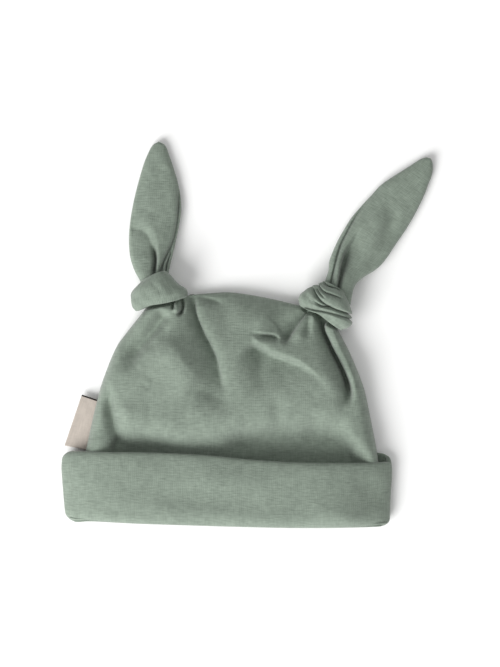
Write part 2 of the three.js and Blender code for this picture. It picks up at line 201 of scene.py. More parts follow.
def foldHeight(x, y, folds):
    total = np.zeros(x.shape)
    for one in folds:
        far, share = besideLine(x, y, one["line"])
        width = np.where(far > 0, mix(*one["left"], share), mix(*one["right"], share))
        fadeIn, fadeOut = one["fade"]
        strength = ramp(0, fadeIn, share) if fadeIn else 1.0
        strength = strength * (ramp(0, fadeOut, 1 - share) if fadeOut else 1.0)
        total += one["height"] * strength * np.exp(-((np.abs(far) / width) ** one["power"]))
    return total


def softNoise(x, y, size, seed):  # smooth random heights from -1 to 1, a bump about every two sizes
    cells = 64
    grid = np.random.default_rng(seed).uniform(-1, 1, (cells, cells))
    gx, gy = (x / size) % cells, (y / size) % cells
    ix, iy = gx.astype(int), gy.astype(int)
    fx, fy = ramp(0, 1, gx - ix), ramp(0, 1, gy - iy)
    jx, jy = (ix + 1) % cells, (iy + 1) % cells
    ix, iy = ix % cells, iy % cells
    return mix(mix(grid[ix, iy], grid[jx, iy], fx), mix(grid[ix, jy], grid[jx, jy], fx), fy)


def rolled(distance, reach, power):  # from 0 at an edge to 1 at reach from it, steep at first
    left = 1 - np.clip(distance / reach, 0, 1)
    return (1 - left * left) ** power


def ripples(x, y, rows):  # soft uneven heights, from rows of height, size and seed
    return sum(height * softNoise(x, y, size, seed) for height, size, seed in rows)


def eased(heights, ring=False):  # a grid's heights with its jagged places smoothed away
    h = heights.copy()
    kept = slice(None) if ring else slice(1, -1)
    uneven = h[:-2] + h[2:] + np.roll(h, 1, 1)[1:-1] + np.roll(h, -1, 1)[1:-1] - 4 * h[1:-1]
    h[1:-1, kept] += 0.2 * uneven[:, kept]
    return h


def columnShares(count, gather):  # from 0 to 1, closer together near both ends
    t = np.linspace(0, 1, count + 1)
    return t - gather * np.sin(2 * np.pi * t) / (2 * np.pi)


# A mesh from rows of points, with their places on the flat cloth in uv. ring joins the last column to
# the first, loop the last row to the first, caps closes the first and last row of a ring with a fan.
# A row or column more in uv is for the places where the joined ones end.
def clothMesh(name, points, uv, ring=False, loop=False, caps=False):
    rows, columns = points.shape[:2]
    across = columns if ring else columns - 1
    down = rows if loop else rows - 1
    i, j = np.meshgrid(np.arange(down), np.arange(across), indexing="ij")
    nextRow, nextColumn = (i + 1) % rows, (j + 1) % columns
    faces = np.stack([i * columns + j, i * columns + nextColumn,
                      nextRow * columns + nextColumn, nextRow * columns + j], -1).reshape(-1, 4)
    verts = points.reshape(-1, 3) * mm
    faceList = faces.tolist()
    uvRow = i + 1 if uv.shape[0] > rows else nextRow
    uvColumn = j + 1 if uv.shape[1] > columns else nextColumn
    corners = [uv[i, j], uv[i, uvColumn], uv[uvRow, uvColumn], uv[uvRow, j]]
    loopUv = np.stack(corners, -2).reshape(-1, 2).tolist()
    if caps:
        for row, turned in ((0, True), (rows - 1, False)):
            middle = points[row].mean(0) * mm
            verts = np.vstack([verts, middle])
            for k in range(columns):
                pair = [row * columns + k, row * columns + (k + 1) % columns]
                faceList.append(pair[::-1] + [len(verts) - 1] if turned else pair + [len(verts) - 1])
                loopUv += [uv[row, k].tolist()] * 3
    mesh = bpy.data.meshes.new(name)
    mesh.from_pydata(verts.tolist(), [], faceList)
    layer = mesh.uv_layers.new(name="cloth")
    layer.data.foreach_set("uv", (np.array(loopUv) * mm).astype(np.float32).ravel())
    piece = bpy.data.objects.new(name, mesh)
    bpy.context.scene.collection.objects.link(piece)
    return piece


def finishCloth(piece, thickness=0, offset=-1, merge=0):  # faces out, a wall's thickness, smooth shading
    bpy.ops.object.select_all(action="DESELECT")
    piece.select_set(True)
    bpy.context.view_layer.objects.active = piece
    bpy.ops.object.mode_set(mode="EDIT")
    bpy.ops.mesh.select_all(action="SELECT")
    if merge:
        bpy.ops.mesh.remove_doubles(threshold=merge * mm)
    bpy.ops.mesh.normals_make_consistent(inside=False)
    bpy.ops.object.mode_set(mode="OBJECT")
    if thickness:
        wall = piece.modifiers.new("wall", "SOLIDIFY")
        wall.thickness = thickness * mm
        wall.offset = offset
        bpy.ops.object.modifier_apply(modifier=wall.name)
    bpy.ops.object.shade_smooth()
    return piece


# The crown: a front and a back panel, sewn together at the sides
crown = {
    "wall": 1.3,
    "columns": 250,
    "rows": 155,
    "gather": 0.3,  # how much closer the mesh's columns stand at the sides
    "rowPower": 1.35,  # and its rows towards the top
    "backColumns": 120,
    "backRows": 80,
    "backGather": 0.5,
    "length": 92,
    "seamHeight": 3.4,  # of the side seams above the surface
    "backHeight": 0.15,  # of the back above the surface, away from the seams
    "backRise": (10, 0.8),  # how far from a seam the back gets there, and its steepness
    "frontRise": (40, 0.74),  # how far from a seam the front gets to its full height, and its steepness
    "seamRoll": (2.4, 3.2, 0.5),  # what the front rises by at once at a seam, how far from it, steepness
    "cuffLift": 2.9,  # of the crown's back where it lies on the cuff's back
    "cuffEnd": (21, 34),  # y from which the back slopes down from there, and y where it is down
    "mouthEnd": (8.8, 14.5),  # y from which the front leaves the cuff's inner leaf, y where it is free
    "mouthDrop": 0.15,  # of the front below the leaf's face
    "left": [(-77.4, 8.5), (-74.6, 22), (-70.6, 41), (-65.9, 57.8), (-59.2, 74.4), (-53.2, 83),
             (-46.4, 91.6), (-41, 98.6)],
    "right": [(80, 5.7), (78.4, 20), (75.3, 36.8), (71.6, 53.6), (65, 70.4), (60.8, 78.8), (56, 88)],
    "mouth": [(-77.4, 8.5), (-40, 7.1), (0, 6.3), (40, 5.7), (80, 5.7)],
    "top": [(-41, 98.6), (-34, 103), (-25, 102), (-14, 103.2), (0, 104), (12, 102.6), (24, 100.3),
            (37, 97.2), (49, 95.5), (56, 88)],
    # y and the height that the front comes to there, away from its edges
    "heights": [(4, 12.6), (10, 13), (17, 17.6), (26, 18.4), (42, 18.8), (58, 18.6), (76, 17.6),
                (90, 15.4), (106, 12)],
    # x, how deep the front dips behind the cuff's edge there, and how far up the dip reaches
    "dips": [(-80, 0.5, 4), (-63, 1.5, 4), (-57, 9, 9), (-46, 10.5, 10.5), (-36, 9.5, 9.5), (-24, 7, 8.5),
             (-10, 7.5, 10.5), (4, 9.5, 12.5), (20, 11.5, 15), (40, 13, 17.5), (56, 13.5, 17.5),
             (62, 12, 14), (67, 6, 9), (72, 2.5, 5), (80, 1, 4)],
    # how far in from the edges each of these has its full strength
    "fullAt": {"cuffLift": 12, "knotLift": 8, "dips": 9, "folds": 7, "ripples": 9, "room": 5,
               "backRipple": 12},
    "dipStart": (7, 15),  # y from which the dips begin, and y where they are at their full depth
    "neckRise": 4.5,  # of the cloth drawn together at each knot
    "neckReach": 9,
    "rimGap": 0.9,  # width of the gap at a knot's rim
    "knotReach": 15,  # how far round a knot the seams and the back are lifted
    "knotLift": (4, 5),  # how far the back and the front are lifted there
    "ripples": [(0.35, 13, 4), (0.14, 5.2, 5)],  # height, size and seed
    "backRipple": (0.25, 16, 9),
    # a fold, and how far its left hand leans over it
    "leaning": [("deep right crease", 1.5), ("left knot valley", 1.5), ("lobe crease", 0.9)],
    "leanBand": (1.4, 1.3),  # how far from the fold the leaning is strongest, and how wide that is
    "leanIn": (0, 0.12),  # shares of the fold between which the leaning begins
    "leanOut": (0.1, 0.5),  # and between which it ends, from the fold's far end
}

crownFolds = [
    fold("left neck valley", [(-32, 95), (-36.8, 87), (-42.4, 80), (-47, 75), (-50.6, 68.4), (-52.6, 60)],
         -5.4, (2.8, 3.4), (3, 5), (0.1, 0.4), 2),
    fold("left neck ridge", [(-33, 86), (-37, 79.6), (-41, 74)], 0.7, (3, 4), (2, 2.6), (0.3, 0.5), 2),
    fold("second neck valley", [(-31, 87), (-33.6, 81.6), (-38, 77), (-44, 72.6)], -1, (1.8, 2.6),
         (1.4, 2.4), (0.3, 0.4), 2),
    fold("left side valley", [(-62, 58), (-62, 46), (-60.6, 38), (-58.8, 30), (-57.8, 23), (-57.6, 16)],
         -6, (2.4, 3.2), (3.4, 4.4), (0.25, 0)),
    fold("left knot valley", [(-18.2, 101), (-15.4, 91), (-11.8, 82.4), (-8, 75.4), (-5.2, 68.6),
         (-4.2, 62), (-3, 55), (0, 49.4)], -7.8, (0.9, 1.7), (5, 9), (0, 0.35), 1.4),
    fold("bowl", [(-18, 56), (-10, 51), (-2, 47.4), (6, 46)], -2.2, (10, 10), (4, 4), (0.4, 0.5)),
    fold("lobe edge", [(-14.5, 98.6), (-10.6, 91.5), (-6.4, 83.5), (-2, 75)], 0.6, (5, 7), (1.4, 2),
         (0.1, 0.5)),
    fold("fold under the arch", [(-21, 102), (-14.8, 101.6), (-8.1, 99.8), (-2, 97.4)], -2.4, (1.4, 1),
         (1.8, 2.2)),
    fold("upper lobe", [(-4, 91), (12, 92), (27, 88)], 3, (9, 9), (9, 7), (0.4, 0.3), 2),
    fold("lobe crease", [(43.4, 95), (36.4, 86.4), (31.6, 79.6), (27.6, 77.4)], -6, (0.9, 1.2), (4.4, 6),
         (0, 0.3), 1.2),
    fold("crease lip", [(43.4, 91), (38, 84), (33.6, 77.4)], 1.5, (2, 3), (0.9, 1.1), (0, 0.4)),
    fold("pucker", [(11, 83), (18.4, 81.4), (23.4, 80.9), (28, 79)], -4.6, (0.5, 0.6), (1.2, 2),
         (0.5, 0.3), 1.6),
    fold("pucker lip", [(13, 84.4), (18, 83.2), (24, 82.8)], 0.5, (2, 2.4), (1, 1), (0.3, 0.5)),
    fold("diagonal ridge", [(12.4, 82), (16, 77), (20.4, 73.8), (28, 71), (36, 68.2), (43, 64),
         (49, 58.4), (54, 51)], 2.2, (8, 13), (0.6, 0.8), (0.1, 0.5), 1.4),
    fold("hollow below the ridge", [(11, 78), (16, 73.4), (27, 68.8), (37, 64.6), (46, 56)], -5, (1.6, 2),
         (9, 12), (0.2, 0.5), 1.8),
    fold("pleat under the right knot", [(43.4, 94), (42.2, 87), (41, 79)], -2.8, (1, 1.6), (1.8, 2.6),
         (0, 0.4)),
    fold("pleat lip", [(45.2, 93), (44, 86), (43.4, 79)], 0.5, (1.6, 2), (1, 1.2), (0, 0.5)),
    fold("tuck under the right knot", [(46, 93.4), (48.4, 89.4), (51, 85)], -3.6, (0.8, 0.8), (0.9, 1.2),
         (0, 0.4)),
    fold("soft side of the deep crease", [(50, 90), (49.6, 84), (52, 78), (55, 72), (59.4, 64),
         (61.8, 56), (62, 48), (60, 40), (58, 30)], -4.4, (1.6, 3), (3.4, 5), (0, 0.4)),
    fold("deep right crease", [(51.6, 91), (51.2, 85), (53.4, 79.7), (56, 74), (60.4, 65.2), (63, 57.8),
                               (64.2, 50.6), (63, 43)], -11, (1.1, 1.2), (2.2, 2.4), (0, 0.3), 2.6),
    fold("strip beside the crease", [(54, 88), (57.6, 78), (63.6, 66), (66.8, 55), (66.6, 44)],
         1.8, (2.6, 4), (1.3, 2), (0, 0.5)),
    fold("outer strip crease", [(56.4, 89), (58.8, 83), (62, 76)], -3.4, (0.9, 1.2), (1, 1.4), (0, 0.5)),
    fold("swell left of the crease", [(46, 66), (54, 58), (58, 48)], 1.8, (5, 5), (5, 7), (0.4, 0.4), 2),
    fold("middle valley", [(16, 78), (17, 64), (17.4, 47)], -2.4, (4, 5), (5, 7), (0.15, 0.4), 1.8),
    fold("right flank", [(66, 74), (71, 58), (75.4, 38), (78, 14)], 4, (2.2, 2.2), (9, 10), (0.3, 0), 2),
    fold("left flank", [(-54, 80), (-64, 60), (-70, 40), (-74, 22)], 3.2, (10, 10), (3.4, 3.4), (0.3, 0),
         2),
    fold("slack behind the cuff", [(-8, 25), (8, 26), (28, 28), (44, 28), (62, 26)], -4, (7, 7), (6, 6),
         (0.3, 0.15), 2),
    fold("low band", [(25, 52), (26, 40), (28, 28)], -1.5, (4, 4), (3.4, 4), (0.4, 0.2), 2),
    fold("second low band", [(46, 44), (45, 34), (42, 24)], -1.3, (4, 4), (4, 4), (0.4, 0.2), 2),
    fold("third low band", [(4, 34), (6, 27), (6, 20)], -0.9, (4, 4), (4, 4), (0.4, 0.2), 2),
    fold("left bulge", [(-35, 82), (-28, 72), (-20, 62), (-14, 55)], 4, (5, 7), (10, 13), (0.3, 0.3), 2),
    fold("lower left bulge", [(-53, 48), (-51, 38), (-48, 28)], 1.6, (11, 12), (4, 4), (0.4, 0.3), 2),
    fold("lower middle bulge", [(-24, 38), (-8, 39), (12, 39)], 1.3, (7, 7), (8, 8), (0.4, 0.4), 2),
    fold("small pucker", [(-46.4, 57.6), (-43, 55), (-39.6, 51.6)], -0.5, (1.4, 1.4), (1.6, 1.8),
         (0.4, 0.4)),
    fold("second small pucker", [(-44, 61.6), (-40.6, 59.6), (-37, 57)], -0.35, (1.4, 1.4), (1.6, 1.8),
         (0.4, 0.4)),
    fold("soft crease", [(-43, 50), (-41, 42), (-39.6, 30)], -0.8, (3, 5), (3, 4), (0.5, 0.2)),
    fold("finger of the tuck", [(-27, 100.6), (-26.8, 96.6), (-27.4, 92.8)], 1.6, (1.3, 1.5), (1.4, 1.6),
         (0, 0.22), 2),
    fold("tuck's right crease", [(-24.6, 101.4), (-23.7, 98.4), (-23.5, 96.4), (-24.4, 93.6),
         (-26.6, 91.4)], -7, (0.8, 0.7), (1, 0.8), (0, 0.2)),
    fold("tuck's left crease", [(-29.6, 101), (-28.9, 98.4), (-28.8, 96.4), (-29, 94.4)], -5, (0.5, 0.5),
         (0.6, 0.5), (0, 0.4)),
    fold("tuck's right lip", [(-21.4, 101.6), (-21.8, 97.4), (-23.4, 92)], 1.6, (1.2, 1.6), (0.8, 0.9),
         (0, 0.4)),
]


def crownPlan(across, along):  # where a place on the crown is, seen from above
    left, right = (alongLine(crown[k], along)[:, None] for k in ("left", "right"))
    low, high = (alongLine(crown[k], across)[None] for k in ("mouth", "top"))
    u, v = across[None, :, None], along[:, None, None]
    lowLeft, lowRight = np.array(crown["mouth"][0], float), np.array(crown["mouth"][-1], float)
    topLeft, topRight = np.array(crown["top"][0], float), np.array(crown["top"][-1], float)
    plan = (1 - u) * left + u * right + (1 - v) * low + v * high
    plan = plan - (1 - v) * ((1 - u) * lowLeft + u * lowRight)
    plan = plan - v * ((1 - u) * topLeft + u * topRight)
    width = np.hypot(*(right - left)[:, 0].T)[:, None]
    toSide = np.minimum(across, 1 - across)[None] * width
    toTop = (1 - along)[:, None] * crown["length"]
    # the nearer of the two, eased where they are alike
    toEdge = ((toSide + 0.01) ** -3 + (toTop + 0.01) ** -3) ** (-1 / 3)
    return plan[..., 0], plan[..., 1], toEdge


def neckRise(x, y):  # the cloth drawn up where it goes into a knot, with a gap at the knot's rim
    total = 0
    for knot in (leftKnot, rightKnot):
        rim = knotPlan(knot, *np.array(knot["crownRim"], float).T)
        far = np.abs(besideLine(x, y, lineThrough(rim[1:-1]))[0])
        total = total + crown["neckRise"] * np.exp(-((far / crown["neckReach"]) ** 2))
        total = total - knot["gap"] * np.exp(-((far / crown["rimGap"]) ** 2))
    return total


def nearKnots(x, y):  # 1 at a knot, falling to 0 away from it
    total = 0
    for node in ("knot_left", "knot_right"):
        low, high = boxMm(node)
        middle = (low + high) / 2
        total = total + np.exp(-((np.hypot(x - middle[0], y - middle[1]) / crown["knotReach"]) ** 2))
    return total


def onCuff(y):  # what the cuff's back lifts the crown's back by
    return crown["cuffLift"] * (1 - ramp(*crown["cuffEnd"], y))


def crownBack(x, y, toEdge):
    low = crown["backHeight"]
    rise = (crown["seamHeight"] - low) * (1 - rolled(toEdge, *crown["backRise"]))
    return low + rise + onCuff(y) + crown["knotLift"][0] * nearKnots(x, y)


def crownFront(x, y, toEdge):
    fullAt = crown["fullAt"]
    full = tableAt(crown["heights"], y)[0] - crown["seamHeight"]
    first, reach, steepness = crown["seamRoll"]
    height = crown["seamHeight"] + onCuff(y) * (1 - rolled(toEdge, fullAt["cuffLift"], 1))
    height = height + crown["knotLift"][1] * nearKnots(x, y) * (1 - rolled(toEdge, fullAt["knotLift"], 1))
    height = height + first * rolled(toEdge, reach, steepness)
    height = height + (full - first) * rolled(toEdge, *crown["frontRise"])
    depth, reach = tableAt(crown["dips"], x)
    edge = np.interp(x, *np.array(cuff["topFront"], float).T)
    dip = depth * np.exp(-((np.maximum(y - edge, 0) / reach) ** 2.4)) * ramp(*crown["dipStart"], y)
    return height + (neckRise(x, y) - dip) * rolled(toEdge, fullAt["dips"], 1)


def joinLeaf(height, x, y):  # the crown's mouth comes out of the end of the cuff's inner leaf
    toSide = np.minimum(x - crown["mouth"][0][0], crown["mouth"][-1][0] - x)
    edge = crown["cuffLift"] + cuff["seamHeight"]
    top = boxMm("cuff")[1][2] - sum(cuff["leafDrop"])
    bend = foldHeight(x, y, cuffFolds) * rolled(toSide, cuff["bendEnd"], 1)
    leaf = edge + (top - edge) * rolled(toSide, *cuff["rise"]) + bend - crown["mouthDrop"]
    return mix(leaf, height, ramp(*crown["mouthEnd"], y))


def leanOver(x, y, line, lean):  # the cloth on a valley's left hand hangs over it
    far, share = besideLine(x, y, line)
    way = np.gradient(line, axis=0)
    way = way / np.hypot(*way.T)[:, None]
    at = share * (len(line) - 1)
    wayX, wayY = (np.interp(at, np.arange(len(line)), way[:, k]) for k in (0, 1))
    middle, width = crown["leanBand"]
    fade = ramp(*crown["leanIn"], share) * ramp(*crown["leanOut"], 1 - share)
    push = lean * np.exp(-(((far - middle) / width) ** 2)) * fade
    return x + wayY * push, y - wayX * push


def makeCrownFront():
    across = columnShares(crown["columns"], crown["gather"])
    along = 1 - (1 - np.linspace(0, 1, crown["rows"] + 1)) ** crown["rowPower"]
    x, y, toEdge = crownPlan(across, along)
    fullAt = crown["fullAt"]
    folds = foldHeight(x, y, crownFolds) * rolled(toEdge, fullAt["folds"], 0.9)
    ripple = ripples(x, y, crown["ripples"]) * rolled(toEdge, fullAt["ripples"], 1)
    lowest = crownBack(x, y, toEdge) + 2 * crown["wall"] * rolled(toEdge, fullAt["room"], 1)
    height = np.maximum(crownFront(x, y, toEdge) + folds + ripple, lowest)
    height = joinLeaf(eased(height), x, y)
    foldLines = {one["name"]: one["line"] for one in crownFolds}
    for name, lean in crown["leaning"]:
        x, y = leanOver(x, y, foldLines[name], lean)
    points = np.stack([x, y, height], -1)
    piece = clothMesh("crown_front", points, np.stack([x, y], -1))
    return finishCloth(piece, crown["wall"], -1)


def makeCrownBack():
    across = columnShares(crown["backColumns"], crown["backGather"])
    along = np.linspace(0, 1, crown["backRows"] + 1)
    x, y, toEdge = crownPlan(across, along)
    rippleHeight, size, seed = crown["backRipple"]
    ripple = rippleHeight * (1 + softNoise(x, y, size, seed))
    height = crownBack(x, y, toEdge) + ripple * rolled(toEdge, crown["fullAt"]["backRipple"], 1)
    # its outermost points lie on the front's edge
    atEdge = np.where(toEdge < 0.05, 1.0, 0.0) * (1 - rolled(toEdge, 1.2, 1))
    height = mix(height, joinLeaf(crownFront(x, y, toEdge), x, y), atEdge)
    points = np.stack([x, y, height], -1)[:, ::-1]
    piece = clothMesh("crown_back", points, points[..., :2].copy())
    return finishCloth(piece, crown["wall"], -1)


# The cuff: one band, turned up and folded once
cuff = {
    "columns": 230,
    "rows": 110,
    "gather": 0.55,
    "height": 36,  # from the fold to the top edge
    "clothHeight": 37,  # the same along the cloth
    "seamHeight": 4.6,  # of the ends, where front and back meet
    "outerLeft": (1.9, -2.6),  # from the box's left end at the fold, and how much more at the top edge
    "outerRight": (-1.3, 2.2),  # and from its right end
    "innerLeft": (-83.6, 6.2),  # the inner leaf's left end at the fold, and how much more at its edge
    "innerRight": (83.2, -3.2),
    "foldDrop": (2.6, 0.2),  # of the face at the fold, and up to what share of the height it reaches
    "leafDrop": (4.4, 1.7),  # of the inner leaf's face below the top at the fold, and more at its edge
    "backHeight": 0.1,  # of the back above the surface
    "rise": (44, 0.6),  # how far from an end the face gets to its full height, and its steepness
    "backRise": (7, 0.8),  # and the back
    "bendEnd": 12,  # how far in from an end the folds and ripples have their full strength
    "ripples": [(0.22, 9, 21), (0.1, 4, 22)],  # height, size and seed
    "foldCorner": (3.6, 3.4),  # radius of the left and right corners at the fold
    "topCorner": (3.6, 1.4),  # and at the top edge
    "leafDepth": 26.6,  # of the inner leaf, above the fold
    "topFront": [(-88, 19.6), (-80, 20.5), (-60, 20.2), (-45, 20.2), (-15, 19), (12, 16.5), (38, 14.8),
                 (70, 14.5), (80, 14.7), (88, 15)],
    "topBack": [(-88, 19.6), (-20, 20.5), (40, 20.6), (76, 19.6), (84, 18), (88, 15)],
    "foldLine": [(-88, -15.4), (-80, -17), (-70, -16.4), (-40, -17.6), (30, -19.5), (88, -19.4)],
}

# The section: how far up from the fold, whether it lies on the outer (0) or the inner leaf (1), and how
# far inwards from that leaf's face
cuffSection = [
    (1.0, 0, 2.9), (0.99, 0, 2), (0.965, 0, 1.3), (0.92, 0, 0.75), (0.85, 0, 0.3), (0.7, 0, -0.1),
    (0.3, 0, 0), (0.16, 0, 0.1), (0.08, 0, 0.45), (0.02, 0, 1.5), (0, 0, 3), (0.012, 1, 0.7), (0.05, 1, 1.5),
    (0.12, 1, 1.6), (0.35, 1, 1.6), (0.6, 1, 1.6), (0.97, 1, 1.6), (1.0, 1, 1.0), (0.99, 1, 0.1), (0.9, 1, 0),
    (0.6, 1, 0), (0.3, 1, 0), (0.12, 1, 0), (0.07, 1, -0.7), (0.085, 0, 2.6), (0.14, 0, 2.2), (0.3, 0, 2.2),
    (0.5, 0, 2.1), (0.8, 0, 2.4), (0.93, 0, 3.1), (0.985, 0, 3.8),
]

cuffFolds = [
    fold("dip at the right", [(60, 6), (74, 2), (84, -8)], -1.5, (7, 6), (6, 6), (0.4, 0.3), 2),
    fold("swell at the right", [(40, -9), (58, -12), (72, -12)], 1.1, (6, 6), (5, 5), (0.4, 0.4), 2),
    fold("long dip", [(-60, 2), (-20, -3), (24, -6)], -1.1, (5, 6), (4, 5), (0.4, 0.4), 2),
    fold("swell in the middle", [(-30, 7), (0, 5), (34, 4)], 0.8, (5, 5), (5, 5), (0.4, 0.4), 2),
    fold("swell on the left", [(-78, 8), (-66, 2), (-48, -4)], 0.7, (6, 6), (5, 5), (0.4, 0.4), 2),
    fold("ripple near the fold", [(-72, -8), (-52, -11), (-26, -11)], -0.9, (2.6, 3), (4, 4), (0.4, 0.4)),
    fold("ripple at the right end", [(86, -4), (78, -6), (66, -9)], -0.8, (2, 3), (3, 3), (0.3, 0.4)),
]


def corner(distance, radius):  # how far a round corner draws in at a distance from its end
    t = np.clip(1 - distance / radius, 0, 1)
    return radius * (1 - math.sqrt(1 - t * t))


def cuffCorner(up, leaf, hand):  # what the corners at the fold and the top edge draw an end in by
    atTop = corner((1 - up) * cuff["height"], cuff["topCorner"][hand]) * (1 - leaf)
    return corner(up * cuff["height"], cuff["foldCorner"][hand]) + atTop


def makeCuff():
    low, high = boxMm("cuff")
    section = lineThrough(cuffSection + cuffSection[:1], cuff["rows"])[:-1]
    shares = columnShares(cuff["columns"], cuff["gather"])
    foldLine, topFront, topBack = (lineThrough(cuff[k], 200).T for k in ("foldLine", "topFront", "topBack"))
    steps = np.hypot(np.diff(section[:, 0]) * cuff["clothHeight"], np.diff(section[:, 2]))
    run = np.concatenate([[0], np.cumsum(steps)])
    foldDrop, foldShare = cuff["foldDrop"]
    leafDrop, moreDrop = cuff["leafDrop"]
    (outerLeft, moreOuterLeft), (innerLeft, moreInnerLeft) = cuff["outerLeft"], cuff["innerLeft"]
    (outerRight, moreOuterRight), (innerRight, moreInnerRight) = cuff["outerRight"], cuff["innerRight"]
    rows, uvRows = [], []
    for (up, leaf, inset), length in zip(section, run):
        up = min(max(up, 0), 1)
        left = mix(low[0] + outerLeft + moreOuterLeft * up, innerLeft + moreInnerLeft * up, leaf)
        left = left + cuffCorner(up, leaf, 0) + inset
        right = mix(high[0] + outerRight + moreOuterRight * up**3, innerRight + moreInnerRight * up, leaf)
        right = right - cuffCorner(up, leaf, 1) - inset
        face = high[2] - foldDrop * max(0, 1 - up / foldShare) ** 2
        top = mix(face, high[2] - leafDrop - moreDrop * up, leaf) - inset
        bottom = mix(cuff["backHeight"], crown["cuffLift"], leaf) + inset
        edge = mix(0, crown["cuffLift"], leaf) + cuff["seamHeight"]
        ring = []
        for front in (True, False):
            share = shares if front else shares[::-1][1:-1]
            x = mix(left, right, share)
            toSide = np.minimum(share, 1 - share) * (right - left)
            upLine = np.interp(x, *(topFront if front else topBack))
            foldY = np.interp(x, *foldLine)
            y = foldY + up * mix(upLine - foldY, cuff["leafDepth"], leaf)
            if front:
                bend = foldHeight(x, y, cuffFolds) + ripples(x, y, cuff["ripples"])
                z = edge + (top - edge) * rolled(toSide, *cuff["rise"])
                z = z + bend * rolled(toSide, cuff["bendEnd"], 1)
            else:
                z = edge - (edge - bottom) * rolled(toSide, *cuff["backRise"])
            ring.append(np.stack([x, y, z], -1))
        ring = np.vstack(ring)
        rows.append(ring)
        uvRows.append(np.stack([ring[:, 0], np.full(len(ring), length)], -1))
    uv = np.array(uvRows)
    uv = np.concatenate([uv, uv[:1] + [0, 2]], 0)  # the loop's last row gets its own place on the cloth
    piece = clothMesh("cuff_band", np.array(rows), uv, ring=True, loop=True)
    return finishCloth(piece)


# The knots
knotShape = {
    "columns": 250,
    "rows": 120,
    "rimRows": 9,
    "squareness": 0.94,  # of the section, which is round at 1
    "ripple": (0.16, 3.2, 31),  # height, size and seed
    "widths": (0.3, 1.2),  # the least and most that creases and ripples leave of the width, as shares
    # each end goes in and is closed: how far it is drawn together and how deep it lies, inside first
    "ends": [(4.4, 4.0), (3.8, 1.6)],
    "clothLength": 17,
}
# reach: place along the knot, and how far it reaches to the left and right there
# thick: place along the knot, and its height
# rims: across and along, for the edge towards the crown and the edge towards the ear
leftKnot = {
    "name": "knot_left_band",
    "node": "knot_left",
    "middle": (-35.7, 104.6),
    "turn": 15,
    "reach": [(-7, 15.4, 13.6), (-5.3, 16, 13.9), (-2.7, 16.1, 13.6), (0, 15.9, 12.2), (2.5, 15.6, 10.6),
              (5, 15.1, 9.3), (7, 13.6, 8.4), (8.4, 11, 7.6), (9.6, 8.4, 6.2)],
    "thick": [(-7, 17.6), (-4, 20.2), (0, 20.6), (4, 19.6), (7, 17.4), (9.6, 14)],
    "crownRim": [(-17, -7.2), (-13, -7), (-8, -6.3), (0, -7.0), (8, -7.2), (14, -6.6)],
    "earRim": [(-14, 6.9), (-9, 8.1), (-1.5, 9.3), (4.7, 9.7), (8, 8.9), (14, 6)],
    "rimRadius": 1.2,
    "gap": 6,  # depth of the gap between its rim and the crown
    "creases": [
        fold("soft hollow", [(-35, 113), (-30, 107), (-26, 102.6)], -0.9, (4, 4), (3, 3), (0.3, 0.3), 2),
        fold("pulled line", [(-42, 110.6), (-37, 106), (-33, 99)], -0.35, (1.6, 2), (1.2, 2), (0.3, 0.4)),
        fold("second pulled line", [(-45, 107), (-43, 103), (-42, 99)], -0.25, (1.4, 1.4), (1, 1.4),
             (0.3, 0.4)),
        fold("ear side crease", [(-47, 110.4), (-42, 112), (-36, 114)], -0.5, (0.6, 0.6), (0.5, 0.5),
             (0.1, 0.3)),
    ],
}
